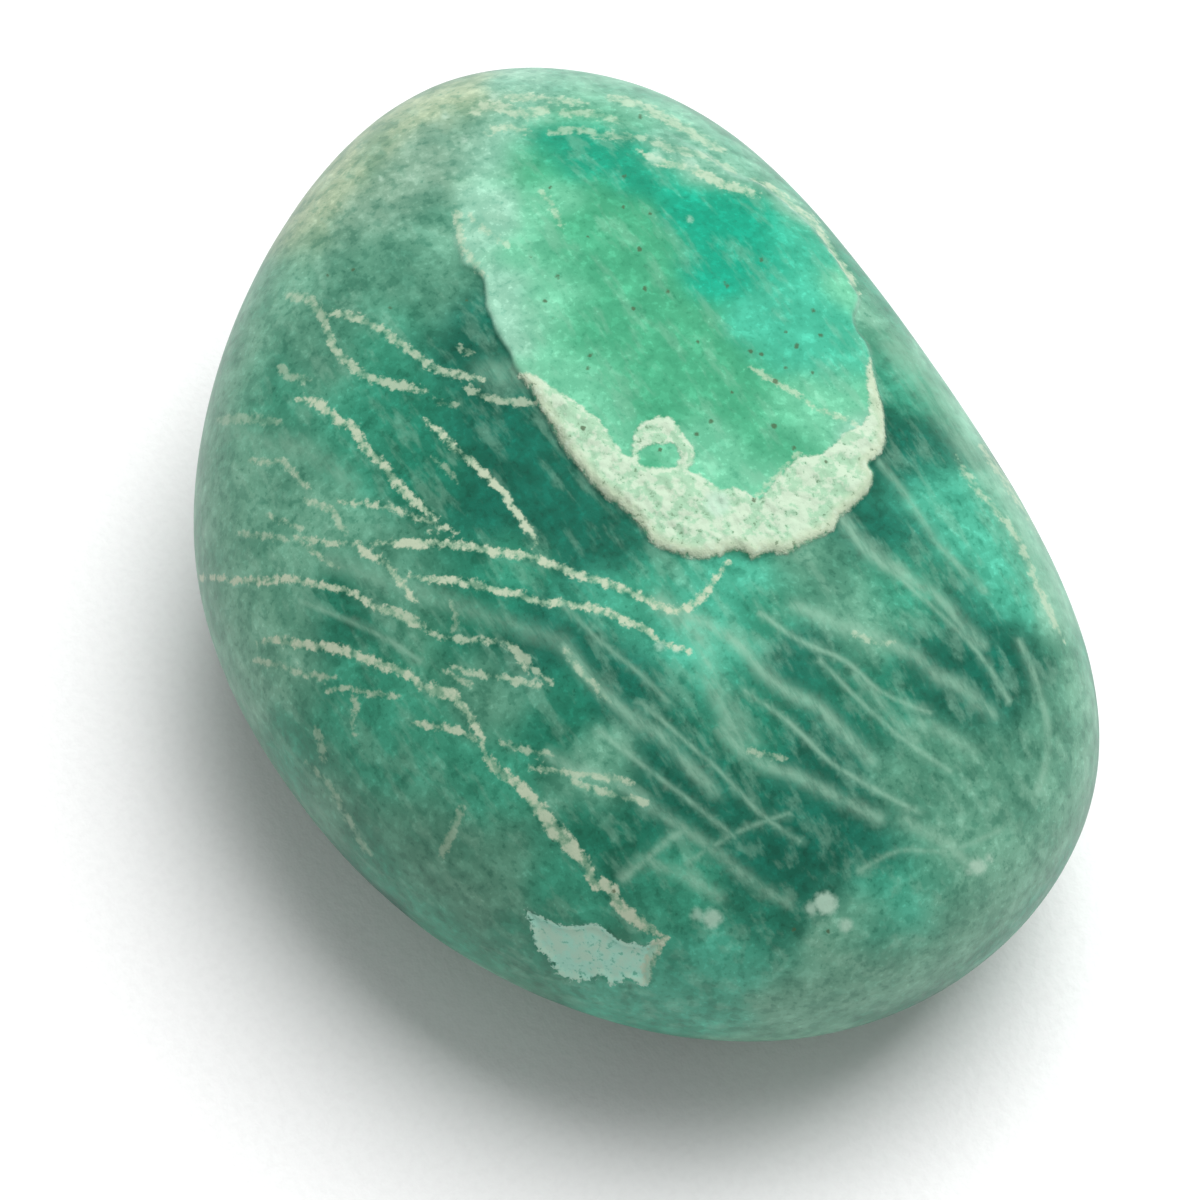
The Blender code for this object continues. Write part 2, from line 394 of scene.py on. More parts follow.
# The cream veins
# Thin sheets of white feldspar that cooled in the cracks, cut through by the polishing, so they lie flush.
# Each is a half-width in pixels, a strength and the pixels that it runs through.
CREAM_VEINS = (
    (4.0, 1.0, ((298, 398), (316, 401), (329, 411), (341, 421), (354, 427), (364, 445), (380, 460),
                (392, 476), (405, 492), (421, 505), (435, 516))),
    (3.0, 1.0, ((426, 419), (440, 432), (456, 448), (475, 464), (491, 480), (504, 492), (517, 512),
                (529, 528), (537, 543))),
    (2.0, 0.4, ((431, 457), (447, 468), (458, 481))),
    (3.5, 0.75, ((324, 312), (341, 312), (360, 317), (380, 328), (399, 341), (415, 352), (427, 363),
                 (443, 371), (463, 374), (482, 378))),
    (4.0, 0.75, ((324, 323), (329, 336), (338, 352), (354, 366), (370, 376), (386, 382), (405, 384),
                 (424, 390))),
    (4.5, 0.55, ((287, 295), (303, 295), (316, 306), (325, 320))),
    (4.0, 0.45, ((278, 365), (290, 374), (309, 379))),
    (3.0, 0.6, ((466, 387), (488, 397), (510, 400), (536, 403))),
    (3.0, 0.5, ((456, 346), (472, 352))),
    (2.5, 0.5, ((437, 401), (458, 403))),
    (4.5, 0.4, ((217, 419), (246, 417), (278, 421))),
    (2.5, 0.6, ((249, 459), (265, 461), (281, 460), (287, 465), (297, 475), (303, 483), (311, 487))),
    (3.0, 0.6, ((303, 499), (316, 502), (329, 508), (337, 515), (341, 526), (346, 532))),
    (2.2, 0.9, ((338, 500), (354, 502), (373, 503), (392, 507), (411, 514), (427, 520), (443, 526),
                (456, 531))),
    (2.0, 0.6, ((268, 515), (284, 521), (301, 526))),
    (2.5, 0.5, ((239, 532), (262, 535), (287, 538))),
    (2.2, 0.8, ((303, 537), (316, 540), (329, 542), (345, 542), (360, 542))),
    (3.0, 1.0, ((357, 542), (367, 553), (380, 558), (392, 570), (405, 586), (416, 601))),
    (2.2, 0.7, ((294, 535), (306, 545), (322, 556), (338, 566))),
    (3.6, 1.0, ((370, 542), (386, 542), (405, 542), (427, 542), (450, 543), (469, 545), (494, 550),
                (517, 553), (539, 559), (561, 567), (581, 574), (603, 581), (625, 589), (644, 597),
                (669, 608), (684, 608), (703, 595), (718, 575), (728, 562))),
    (3.6, 1.0, ((411, 575), (427, 578), (450, 579), (472, 583), (494, 588), (517, 593), (542, 601),
                (561, 602), (584, 605), (609, 612), (628, 620), (647, 629), (657, 639), (688, 650))),
    (3.0, 1.0, ((198, 577), (223, 578), (246, 580), (268, 580), (284, 578), (303, 581), (322, 585),
                (341, 588), (357, 594), (373, 604), (386, 610), (402, 615), (418, 621), (431, 631))),
    (5.0, 0.8, ((386, 608), (402, 615), (420, 624))),
    (2.4, 0.7, ((431, 632), (450, 637), (472, 639), (494, 640), (507, 642), (517, 653), (526, 669))),
    (2.2, 0.6, ((517, 647), (533, 666), (552, 682))),
    (2.6, 0.7, ((450, 664), (469, 671), (491, 674), (517, 680), (542, 685))),
    (2.2, 0.6, ((443, 669), (456, 677), (472, 683))),
    (2.0, 0.35, ((451, 599), (456, 615), (453, 631))),
    (4.2, 1.0, ((258, 642), (278, 639), (297, 643), (316, 645), (335, 647), (354, 653), (373, 661),
                (392, 666), (408, 674), (421, 684), (434, 690), (450, 690), (459, 701), (469, 714),
                (478, 728), (483, 741))),
    (6.5, 0.9, ((426, 686), (441, 691), (455, 692))),
    (2.5, 0.6, ((255, 660), (274, 663), (290, 668), (309, 674), (335, 677))),
    (2.3, 0.7, ((329, 690), (345, 687), (360, 690), (376, 693), (396, 695))),
    (2.2, 0.65, ((352, 695), (356, 707), (352, 720), (354, 733))),
    (3.0, 0.9, ((411, 722), (431, 725), (450, 728), (469, 735), (482, 744))),
    (5.0, 1.0, ((482, 744), (488, 758), (504, 774), (520, 784), (533, 800), (542, 813), (561, 832),
                (574, 848), (587, 864), (595, 883), (608, 885), (615, 897), (622, 908), (633, 916),
                (643, 924), (653, 931), (663, 937))),
    (7.0, 0.9, ((535, 803), (552, 824), (574, 850))),
    (5.5, 0.9, ((662, 939), (653, 952), (648, 968), (648, 982))),
    (4.0, 0.4, ((462, 806), (453, 829), (443, 854))),
    (3.0, 0.4, ((316, 727), (322, 746), (324, 762))),
    (2.4, 0.4, ((306, 762), (329, 784), (345, 813), (357, 835), (370, 854))),
    (2.5, 0.6, ((501, 741), (526, 749), (552, 754))),
    (2.6, 0.7, ((529, 765), (555, 770), (581, 773), (606, 776), (632, 782))),
    (3.0, 0.7, ((571, 779), (590, 787), (616, 794), (647, 802))),
    (2.5, 0.55, ((565, 647), (577, 666), (593, 682), (609, 701))),
    (1.8, 0.6, ((748, 368), (773, 381), (799, 397), (821, 411), (856, 425))),
    (1.8, 0.5, ((799, 454), (775, 478), (754, 499))),
    (2.0, 0.5, ((852, 631), (868, 640), (894, 641))),
    (2.0, 0.5, ((749, 751), (787, 757))),
    (4.0, 0.7, ((642, 153), (662, 164), (684, 167), (703, 177), (722, 186), (741, 193), (757, 199))),
    (3.5, 0.8, ((858, 292), (847, 272), (831, 247), (812, 221), (792, 205), (773, 189), (754, 180))),
    (3.0, 0.6, ((505, 95), (530, 97), (560, 99), (587, 103))),
    (3.0, 0.5, ((549, 130), (580, 128), (606, 134), (647, 137))),
    (4.5, 0.6, ((470, 112), (492, 104), (520, 112), (548, 108))),
    (3.0, 0.6, ((484, 132), (505, 126), (528, 130))),
    (4.0, 0.6, ((610, 96), (640, 104), (668, 118), (700, 136), (724, 150))),
    (3.5, 0.5, ((650, 140), (676, 150), (706, 158), (735, 172))),
    (3.0, 0.5, ((560, 112), (590, 112), (622, 120))),
    (3.0, 0.6, ((456, 205), (458, 225), (463, 246), (474, 262), (484, 276))),
    (2.5, 0.5, ((470, 215), (488, 232), (508, 246))),
    (2.5, 0.5, ((541, 190), (552, 206), (561, 226))),
    (2.5, 0.6, ((956, 453), (971, 480), (994, 507), (1013, 530), (1025, 556), (1036, 583), (1051, 614),
                (1063, 640))),
    (2.5, 0.6, ((982, 445), (1002, 476), (1025, 510), (1047, 541), (1063, 572), (1074, 602), (1082, 629))),
)

# The pale wisps
# Clouded seams where the white feldspar lies a little way below the polish, soft at both sides. The widest,
# along the right shoulder, is painted reflection of the bright surroundings instead.
PALE_WISPS = (
    (7, 0.5, ((565, 644), (588, 675), (611, 698), (638, 721), (665, 736), (680, 755), (699, 774),
              (715, 790))),
    (7, 0.55, ((676, 610), (703, 621), (730, 637), (749, 652), (764, 671), (787, 690), (818, 706),
               (833, 721), (856, 744), (871, 759))),
    (7, 0.5, ((841, 518), (856, 537), (875, 556), (902, 572), (929, 591), (948, 606), (963, 625),
              (982, 644))),
    (7, 0.45, ((795, 606), (818, 614), (841, 625), (868, 633), (894, 644), (917, 656), (937, 675),
               (956, 683), (975, 698), (994, 713))),
    (6, 0.4, ((856, 675), (875, 694), (894, 717), (914, 740))),
    (6, 0.4, ((925, 721), (952, 736), (975, 751))),
    (7, 0.5, ((722, 728), (741, 748), (764, 763), (795, 774), (826, 790), (856, 805), (879, 817))),
    (6, 0.45, ((550, 755), (573, 767), (600, 774), (630, 790), (657, 809), (684, 828), (711, 847),
               (734, 866), (757, 885), (787, 901))),
    (5, 0.5, ((623, 878), (646, 859), (669, 839), (680, 832))),
    (7, 0.4, ((642, 859), (676, 870), (703, 885), (718, 897))),
    (7, 0.5, ((906, 820), (929, 832), (952, 847), (971, 862))),
    (10, 0.45, ((660, 600), (700, 640), (720, 700), (750, 740))),
    # Painted reflection: this wide pale band follows the right shoulder, where the bright surroundings show
    # at a grazing angle.
    (16, 0.4, ((896, 345), (940, 400), (985, 470), (1020, 530), (1060, 620))),
    (12, 0.35, ((485, 370), (510, 372), (530, 380))),
    (10, 0.3, ((230, 430), (300, 450), (350, 480))),
    (9, 0.3, ((330, 560), (420, 590), (500, 620), (560, 640))),
    (3, 0.5, ((760, 612), (800, 640), (845, 660), (880, 690), (930, 712))),
    (3, 0.5, ((880, 560), (915, 590), (950, 622), (985, 660), (1010, 700))),
    (3, 0.45, ((640, 700), (680, 735), (720, 770), (760, 812), (800, 840))),
    (3, 0.5, ((745, 690), (790, 722), (830, 760), (870, 785), (920, 812))),
    (3, 0.45, ((820, 660), (860, 700), (900, 735), (950, 770))),
    (3, 0.45, ((600, 730), (640, 762), (690, 800), (735, 836))),
    (3, 0.4, ((690, 860), (740, 830), (790, 812))),
    (3, 0.4, ((300, 600), (345, 618), (390, 640), (420, 660))),
    (3, 0.4, ((560, 600), (600, 640), (640, 672), (668, 700))),
    (4, 0.4, ((880, 460), (910, 500), (940, 545), (985, 590))),
    (4, 0.45, ((1020, 640), (1040, 690), (1050, 740), (1040, 790))),
    (3, 0.4, ((860, 870), (900, 850), (950, 850), (1000, 830))),
)

# Bright flakes and painted glints, each a pixel, a radius in pixels and a strength, and then the dark specks'
# pixels
FLAKES_AND_GLINTS = (
    (712, 918, 11, 0.8), (698, 914, 8, 0.6), (826, 903, 13, 0.9), (812, 908, 8, 0.7), (846, 925, 8, 0.7),
    (979, 866, 9, 0.8), (990, 858, 5, 0.7), (970, 872, 5, 0.6), (717, 505, 14, 0.9), (689, 221, 3, 1.0),
    (445, 115, 4, 0.8), (411, 175, 3, 0.8), (381, 178, 3, 0.8), (464, 138, 4, 0.8), (494, 96, 6, 0.6),
    (655, 158, 9, 0.6), (690, 165, 8, 0.5), (660, 645, 6, 0.6), (677, 648, 5, 0.6),
)
DARK_SPECKS = (
    (625, 173), (623, 205), (588, 235), (640, 247), (558, 274), (645, 287), (668, 289), (634, 307),
    (553, 316), (725, 281), (728, 284), (762, 258), (814, 309), (786, 330), (797, 344), (751, 349),
    (762, 352), (786, 366), (813, 371), (776, 379), (590, 354), (588, 367), (698, 340), (732, 390),
    (711, 419), (697, 432), (774, 424), (794, 446), (660, 448), (754, 499), (826, 461), (583, 429),
    (821, 333), (650, 211), (641, 111), (550, 182), (531, 255), (545, 299), (389, 303), (351, 265),
    (325, 271), (466, 295), (829, 933), (795, 931), (612, 892),
)
SPECK_RADIUS = 2.6
SPECK_SHARES = (0.6, 0.7, 0.8, 0.9, 1.0)

# A stroke's reach is in pixels, its taper is a share of its length and its tip a share of its half-width
STROKE_STEPS = 4
STROKE_REACH = 16.0
STROKE_TAPER = 0.12
STROKE_TIP = 0.3
WISP_REACH = 3


def strokes_at(places, strokes, reach):
    """The deepest inset into any stroke and that stroke's strength; the strokes taper at both ends."""
    inset = np.full(len(places), -reach)
    strength = np.zeros(len(places))
    for half_width, tone, corners in strokes:
        path = curve_through(corners, STROKE_STEPS)
        near = rows_near(places, path, reach)
        if not near.size:
            continue
        gap, share = distance_to_path(places[near], path)
        taper = np.clip(np.minimum(share, 1 - share) / STROKE_TAPER, STROKE_TIP, 1.0) ** 0.5
        here = half_width * taper - gap
        better = here > inset[near]
        inset[near[better]] = here[better]
        strength[near[better]] = tone
    return inset, strength


def wisps_at(places, strokes):
    """How strongly the soft wisps cloud each place."""
    cloud = np.zeros(len(places))
    for half_width, tone, corners in strokes:
        path = curve_through(corners, STROKE_STEPS)
        near = rows_near(places, path, WISP_REACH * half_width)
        if not near.size:
            continue
        gap, _ = distance_to_path(places[near], path)
        cloud[near] = np.maximum(cloud[near], tone * np.exp(-(gap / half_width) ** 2))
    return cloud


def spots_at(places, spots):
    """How far inside the nearest round spot each place is, in pixels, and that spot's strength."""
    inset = np.full(len(places), -STROKE_REACH)
    strength = np.zeros(len(places))
    for across, down, radius, tone in spots:
        here = radius - np.hypot(places[:, 0] - across, places[:, 1] - down)
        better = here > inset
        inset[better] = here[better]
        strength[better] = tone
    return inset, strength


specks = tuple((across, down, SPECK_RADIUS * SPECK_SHARES[down % len(SPECK_SHARES)], 1.0)
               for across, down in DARK_SPECKS)
FINE_MARGIN = 3.0
EDGE_BAND = 0.35
OUTLINE_FADE = 0.12
GRAZING = 0.02

# Each round of refining: how wide its margins are, and the half-width of the widest wisp that it follows
REFINE_ROUNDS = ((1.6, 7.0), (1.0, 5.0))


def refine(mesh, margin_scale, widest_wisp):
    """Halves the edges that lie in the photograph's view near a marking, a ledge, the crust or the scar."""
    edges = list(mesh.edges)
    raw = worn(np.array([(edge.verts[0].co + edge.verts[1].co) / 2 for edge in edges]))
    places, normals = placed(raw), outward(raw)
    spots = pixels_of(places)
    margin = FINE_MARGIN * margin_scale
    near = strokes_at(spots, CREAM_VEINS, STROKE_REACH)[0] > -margin
    fine_wisps = [wisp for wisp in PALE_WISPS if wisp[0] <= widest_wisp]
    near |= strokes_at(spots, fine_wisps, STROKE_REACH)[0] > -margin / 2
    near |= spots_at(spots, FLAKES_AND_GLINTS + specks)[0] > -margin
    near |= np.abs(inset_from(spots, TONGUE_OUTLINE)) < EDGE_BAND * margin_scale
    near |= inset_from(spots, CRUST_OUTLINE) > -EDGE_BAND * margin_scale / 2
    near |= inset_from(spots, SCAR_OUTLINE) > -EDGE_BAND * margin_scale
    near &= facing_camera(places, normals) > 0.0
    chosen = [edges[i] for i in np.nonzero(near)[0]]
    bmesh.ops.subdivide_edges(mesh, edges=chosen, cuts=1, use_grid_fill=True)
    bmesh.ops.triangulate(mesh, faces=mesh.faces)


for margin_scale, widest_wisp in REFINE_ROUNDS:
    refine(stone_mesh, margin_scale, widest_wisp)

raw_points = worn(points_of(stone_mesh))
form_normals = outward(raw_points)
form_places = placed(raw_points)
facing = facing_camera(form_places, form_normals)
shown = smooth_step(0.0, OUTLINE_FADE, facing)
raised_pixels = pixels_of(form_places + form_normals * TONGUE_RISE)
form_pixels = pixels_of(form_places)

tongue_inset = np.where(facing > 0, inset_from(raised_pixels, TONGUE_OUTLINE), -FAR_OUT)
crust_inset = np.where(facing > 0, inset_from(raised_pixels, CRUST_OUTLINE), -FAR_OUT)
hollow_inset = np.where(facing > 0, inset_from(raised_pixels, RING_HOLLOW), -FAR_OUT)
crust_inset = np.minimum(crust_inset, -hollow_inset)
scar_inset = np.where(facing > 0, inset_from(form_pixels, SCAR_OUTLINE), -FAR_OUT)

knobs = noise_at(form_places, CRUST_KNOB)
grit = noise_at(form_places, CRUST_GRIT)
ragged_tongue = tongue_inset + LEDGE_RAG * knobs
melted = 1 + TONGUE_MELT * smooth_step(MELT_START, MELT_FULL, raised_pixels[:, 1])
height = DENT_HEIGHT * noise_at(form_places, DENT_SPACING)
height += RIPPLE_HEIGHT * noise_at(form_places, RIPPLE_SPACING)
height += (TONGUE_RISE * smooth_step(-LEDGE_WIDTH / 2, LEDGE_WIDTH / 2, ragged_tongue)
           * smooth_step(FADE_END_X, FADE_START_X, form_places[:, 0]))
lumps = CRUST_FLOOR + noise_at(form_places, CRUST_LUMP) + KNOB_SHARE * knobs + GRIT_SHARE * grit
height += CRUST_RISE * smooth_step(*CRUST_SHOULDER, crust_inset) * lumps
height -= SCAR_DEPTH * smooth_step(*SCAR_WALL, scar_inset)
finished = form_places + form_normals * height[:, None]

finished_low = finished.min(axis=0)
finished_high = finished.max(axis=0)
above_floor = finished[:, 2] > 0
stretch = (STONE_HIGH - STONE_LOW)[:2] / (finished_high - finished_low)[:2]
finished[:, :2] = STONE_LOW[:2] + (finished[:, :2] - finished_low[:2]) * stretch
finished[above_floor, 2] *= STONE_HIGH[2] / finished_high[2]

# The ground colours
# Feldspar coloured by a trace of lead: deep teal where it is clear, paler and greyer where it is clouded, and
# olive at the weathered end. The pale zones along the top and right rims are painted reflection, the sheen of
# the bright surroundings at the grazing rim, and the zones on the low flank and the bottom are set lighter as
# painted light. Each zone is a place in the photograph's pixels, a radius in pixels and a tint.
LIGHT_GAIN = 1.22
FULL_TONE = 255
SCREEN_OFFSET = 0.055
SCREEN_POWER = 2.4


def tint(red, green, blue):
    """The stone's own colour, from how it looks on a screen in this light."""
    shares = [(tone / FULL_TONE + SCREEN_OFFSET) / (1 + SCREEN_OFFSET) for tone in (red, green, blue)]
    return tuple(share ** SCREEN_POWER / LIGHT_GAIN for share in shares)


DEEP_TEAL = tint(6, 100, 80)
FOREST = tint(26, 120, 94)
MID_GREEN = tint(56, 150, 120)
GREY_GREEN = tint(88, 148, 122)
SAGE = tint(112, 172, 144)
OLIVE = tint(158, 182, 148)
KHAKI = tint(126, 166, 142)
JADE = tint(74, 174, 144)
# Painted reflection: on the top and right rims this pale tint stands for the sheen of the bright surroundings
# at grazing angles; on the far side it is a plain pale tone.
PALE_AND_RIM_SHEEN = tint(122, 184, 156)
EMERALD = tint(16, 152, 120)
LEAF = tint(70, 166, 124)
TURQUOISE = tint(12, 160, 128)
LIGHT_TURQUOISE = tint(68, 180, 148)
MINT = tint(110, 192, 154)
PALE_MINT = tint(142, 196, 170)
COMMON_GREEN = tint(70, 140, 112)

BODY_ZONES = (
    # The first zones run along the top rim; their pale tints are painted reflection of the bright
    # surroundings.
    (520, 78, 26, PALE_MINT), (590, 82, 28, PALE_AND_RIM_SHEEN), (660, 110, 26, PALE_AND_RIM_SHEEN),
    (730, 150, 24, PALE_AND_RIM_SHEEN), (800, 215, 20, PALE_AND_RIM_SHEEN), (860, 300, 18, SAGE), (465, 175, 24, KHAKI),
    (448, 230, 20, SAGE), (215, 560, 55, SAGE), (222, 460, 55, SAGE), (240, 640, 45, SAGE),
    (290, 655, 35, SAGE), (225, 380, 50, SAGE), (250, 310, 45, SAGE), (285, 265, 40, SAGE),
    (300, 520, 40, SAGE), (350, 145, 50, OLIVE), (400, 110, 50, OLIVE), (320, 195, 45, OLIVE),
    (440, 95, 40, OLIVE), (300, 235, 30, OLIVE), (430, 150, 40, KHAKI), (375, 205, 40, KHAKI),
    (400, 240, 45, GREY_GREEN), (350, 285, 45, GREY_GREEN), (415, 290, 40, GREY_GREEN),
    (320, 350, 40, GREY_GREEN), (290, 470, 40, GREY_GREEN), (350, 440, 40, MID_GREEN),
    (380, 340, 35, MID_GREEN), (270, 400, 40, MID_GREEN), (460, 325, 35, DEEP_TEAL),
    (500, 425, 42, DEEP_TEAL), (545, 470, 42, DEEP_TEAL), (575, 520, 38, DEEP_TEAL),
    (605, 555, 30, DEEP_TEAL), (400, 420, 35, FOREST), (430, 480, 35, FOREST), (470, 500, 30, DEEP_TEAL),
    (340, 610, 32, FOREST), (400, 560, 35, GREY_GREEN), (440, 560, 30, FOREST), (520, 565, 25, MID_GREEN),
    (550, 635, 38, DEEP_TEAL), (625, 680, 35, DEEP_TEAL), (500, 615, 30, FOREST), (590, 590, 25, JADE),
    (690, 620, 36, JADE), (735, 590, 26, JADE), (700, 655, 34, JADE), (640, 590, 28, MID_GREEN),
    (680, 790, 42, DEEP_TEAL), (790, 865, 45, DEEP_TEAL), (870, 838, 34, DEEP_TEAL),
    (770, 915, 32, FOREST), (740, 720, 40, FOREST), (830, 745, 38, DEEP_TEAL), (800, 652, 30, DEEP_TEAL),
    (860, 690, 40, FOREST), (955, 640, 48, DEEP_TEAL), (995, 690, 42, DEEP_TEAL),
    (900, 600, 34, MID_GREEN), (905, 450, 38, DEEP_TEAL), (890, 530, 34, DEEP_TEAL),
    (905, 395, 26, MID_GREEN), (960, 520, 38, JADE), (935, 490, 28, JADE), (995, 580, 30, JADE),
    (820, 585, 32, GREY_GREEN), (850, 620, 30, SAGE), (780, 610, 24, MID_GREEN),
    (940, 780, 40, GREY_GREEN), (1005, 770, 38, GREY_GREEN), (1040, 720, 30, GREY_GREEN),
    # These pale zones run down the right rim to the lower right; their tints are painted reflection of the
    # bright surroundings at the grazing rim.
    (1015, 510, 24, PALE_AND_RIM_SHEEN), (1062, 600, 26, PALE_AND_RIM_SHEEN), (1085, 700, 24, SAGE),
    (975, 425, 24, PALE_AND_RIM_SHEEN), (1070, 790, 34, SAGE), (1030, 860, 34, SAGE), (935, 365, 20, PALE_AND_RIM_SHEEN),
    # From here on the zones lie mostly on the low flank and the bottom; several of their tints are set
    # lighter as painted light, making up for the lamp reaching this side less.
    (975, 900, 40, SAGE), (380, 760, 45, MID_GREEN), (420, 830, 45, GREY_GREEN),
    (300, 745, 34, MID_GREEN), (480, 885, 42, GREY_GREEN), (350, 690, 30, MID_GREEN),
    (330, 800, 34, GREY_GREEN), (380, 865, 30, MID_GREEN), (440, 925, 30, MID_GREEN),
    (470, 780, 34, MID_GREEN), (500, 700, 26, GREY_GREEN), (560, 720, 32, FOREST), (600, 770, 26, SAGE),
    (520, 945, 26, MID_GREEN), (620, 840, 38, FOREST), (560, 890, 26, MID_GREEN),
    (690, 880, 32, MID_GREEN), (740, 960, 38, JADE), (700, 1005, 38, JADE), (800, 1000, 42, SAGE),
    (620, 1015, 30, JADE), (880, 980, 42, SAGE), (900, 900, 40, JADE), (850, 935, 30, SAGE),
    (940, 860, 26, SAGE),
)
TONGUE_ZONES = (
    (480, 215, 30, PALE_MINT), (500, 285, 28, PALE_MINT), (517, 330, 24, PALE_MINT), (545, 205, 24, MINT),
    (470, 240, 22, PALE_MINT), (490, 150, 28, PALE_MINT), (530, 250, 30, MINT), (556, 300, 28, MINT),
    (560, 375, 32, MINT), (600, 425, 28, MINT), (580, 330, 26, LEAF), (530, 160, 26, LEAF),
    (560, 140, 30, EMERALD), (612, 152, 38, EMERALD), (650, 175, 26, EMERALD), (600, 215, 34, LEAF),
    (640, 260, 34, LEAF), (570, 250, 24, LEAF), (610, 300, 32, LEAF), (655, 335, 38, LEAF),
    (716, 266, 30, TURQUOISE), (740, 222, 34, TURQUOISE), (690, 215, 28, TURQUOISE),
    (765, 250, 30, TURQUOISE), (795, 300, 34, LIGHT_TURQUOISE), (770, 330, 26, LIGHT_TURQUOISE),
    (830, 350, 28, LIGHT_TURQUOISE), (800, 245, 26, LIGHT_TURQUOISE), (838, 295, 20, MINT),
    (720, 385, 38, LEAF), (690, 350, 28, LEAF), (760, 430, 32, LEAF), (705, 440, 26, MINT),
    (640, 400, 28, LEAF), (740, 470, 26, MINT), (845, 395, 26, MINT), (800, 415, 26, MINT),
    # From (520, 95) on, the zones run along the top rim; their pale tints there are painted reflection of the
    # bright surroundings.
    (860, 440, 20, PALE_MINT), (520, 95, 34, PALE_MINT), (570, 110, 26, MINT), (620, 108, 28, MINT),
    (680, 150, 26, PALE_MINT), (740, 172, 26, PALE_MINT), (795, 208, 20, PALE_MINT),
)
ZONE_FLOOR = 0.02
FAR_ZONE_COUNT = 70
FAR_ZONE_SEED = 5
FAR_ZONE_RADII = (28, 60)
FAR_ZONE_TINTS = (DEEP_TEAL, FOREST, MID_GREEN, JADE, GREY_GREEN, SAGE, DEEP_TEAL, PALE_AND_RIM_SHEEN)
WARP_SPACING = 2.2 * MM
WARP_REACH = 0.9 * MM
WARP_SHIFTS = (0.0, 31.0 * MM, 67.0 * MM)


def zone_centres(zones):
    """The row of the vertex under each zone's middle, among those that the photograph shows."""
    seen = np.nonzero(facing > GRAZING)[0]
    seen_pixels = form_pixels[seen]
    return [seen[np.hypot(*(seen_pixels - (across, down)).T).argmin()] for across, down, _, _ in zones]


def far_zones():
    """Zones on the sides that the photograph doesn't show, drawn by chance but the same each time."""
    luck = random.Random(FAR_ZONE_SEED)
    unseen = np.nonzero(facing < -OUTLINE_FADE)[0]
    picked = [(unseen[luck.randrange(len(unseen))], luck.uniform(*FAR_ZONE_RADII))
              for _ in range(FAR_ZONE_COUNT)]
    return [(centre, radius, luck.choice(FAR_ZONE_TINTS)) for centre, radius in picked]


def ground_at(places, zones, common):
    """The ground colour at each place: the zones' tints, each fading with distance into the common one."""
    total = np.full((len(places), 3), common) * ZONE_FLOOR
    weight = np.full(len(places), ZONE_FLOOR)
    shown_zones = [(centre, zone[2], zone[3]) for centre, zone in zip(zone_centres(zones), zones)]
    for centre, radius, colour in shown_zones + far_zones():
        gap = np.linalg.norm(places - form_places[centre], axis=1) / MM * PIXELS_PER_MM
        here = np.exp(-(gap / radius) ** 2)
        total += here[:, None] * np.array(colour)
        weight += here
    return total / weight[:, None]


warp = np.stack([noise_at(form_places + shift, WARP_SPACING) for shift in WARP_SHIFTS], axis=1)
warped_places = form_places + warp * WARP_REACH
body_ground = ground_at(warped_places, BODY_ZONES, COMMON_GREEN)
tongue_ground = ground_at(warped_places, TONGUE_ZONES, LEAF)

# The far side's veins
# The same cream sheets cut the sides and the underside that the photograph doesn't show; their runs there
# are a guess, drawn by chance but the same each time.
FAR_VEIN_COUNT = 46
FAR_VEIN_SEED = 11
FAR_VEIN_POINTS = 7
FAR_VEIN_STRENGTHS = (0.4, 1.0)
FAR_SIDE_FROM = -0.1
VEIN_TREND = (0.92, 0.39)
TREND_TILT = 0.5

# Lengths and sway are shares of the stone's size; half-widths and the reach are in millimetres
FAR_VEIN_HALF_LENGTHS = (0.12, 0.42)
FAR_VEIN_SWAY = 0.025
FAR_VEIN_HALF_WIDTHS = (0.10, 0.26)
FAR_VEIN_REACH = 1.0


def far_veins():
    """Short wandering runs on the sides that the camera doesn't see, in millimetres of space."""
    chance = random.Random(FAR_VEIN_SEED)
    runs = []
    while len(runs) < FAR_VEIN_COUNT:
        middle = Vector([chance.gauss(0, 1) for _ in range(3)]).normalized()
        if middle.dot(CAMERA_BACK) > FAR_SIDE_FROM:
            continue
        trend = Vector((*VEIN_TREND, chance.uniform(-TREND_TILT, TREND_TILT)))
        trend = trend.cross(middle).cross(middle).normalized()
        half_length = chance.uniform(*FAR_VEIN_HALF_LENGTHS)
        ways = []
        for step in range(FAR_VEIN_POINTS):
            along = (2 * step / (FAR_VEIN_POINTS - 1) - 1) * half_length
            sway = Vector([chance.uniform(-FAR_VEIN_SWAY, FAR_VEIN_SWAY) for _ in range(3)])
            ways.append(middle + trend * along + sway)
        raw = worn(np.array(ways) * FORM_SIZE)
        if (facing_camera(placed(raw), outward(raw)) > -GRAZING).any():
            continue
        half_width = chance.uniform(*FAR_VEIN_HALF_WIDTHS)
        runs.append((half_width, chance.uniform(*FAR_VEIN_STRENGTHS), placed(raw) / MM))
    return runs


far_inset, far_strength = strokes_at(form_places / MM, far_veins(), FAR_VEIN_REACH)
vein_inset, vein_strength = strokes_at(form_pixels, CREAM_VEINS, STROKE_REACH)
vein_inset = np.where(facing > 0, vein_inset, -STROKE_REACH) / PIXELS_PER_MM
vein_strength = vein_strength * shown
use_far = far_inset > vein_inset
vein_inset = np.where(use_far, far_inset, vein_inset)
vein_strength = np.where(use_far, far_strength, vein_strength)
haze = wisps_at(form_pixels, PALE_WISPS) * shown
bright_inset, bright_strength = spots_at(form_pixels, FLAKES_AND_GLINTS)
speck_inset, _ = spots_at(raised_pixels, specks)
bright_inset = np.where(facing > 0, bright_inset, -STROKE_REACH) / PIXELS_PER_MM
speck_inset = np.where(facing > 0, speck_inset, -STROKE_REACH) / PIXELS_PER_MM

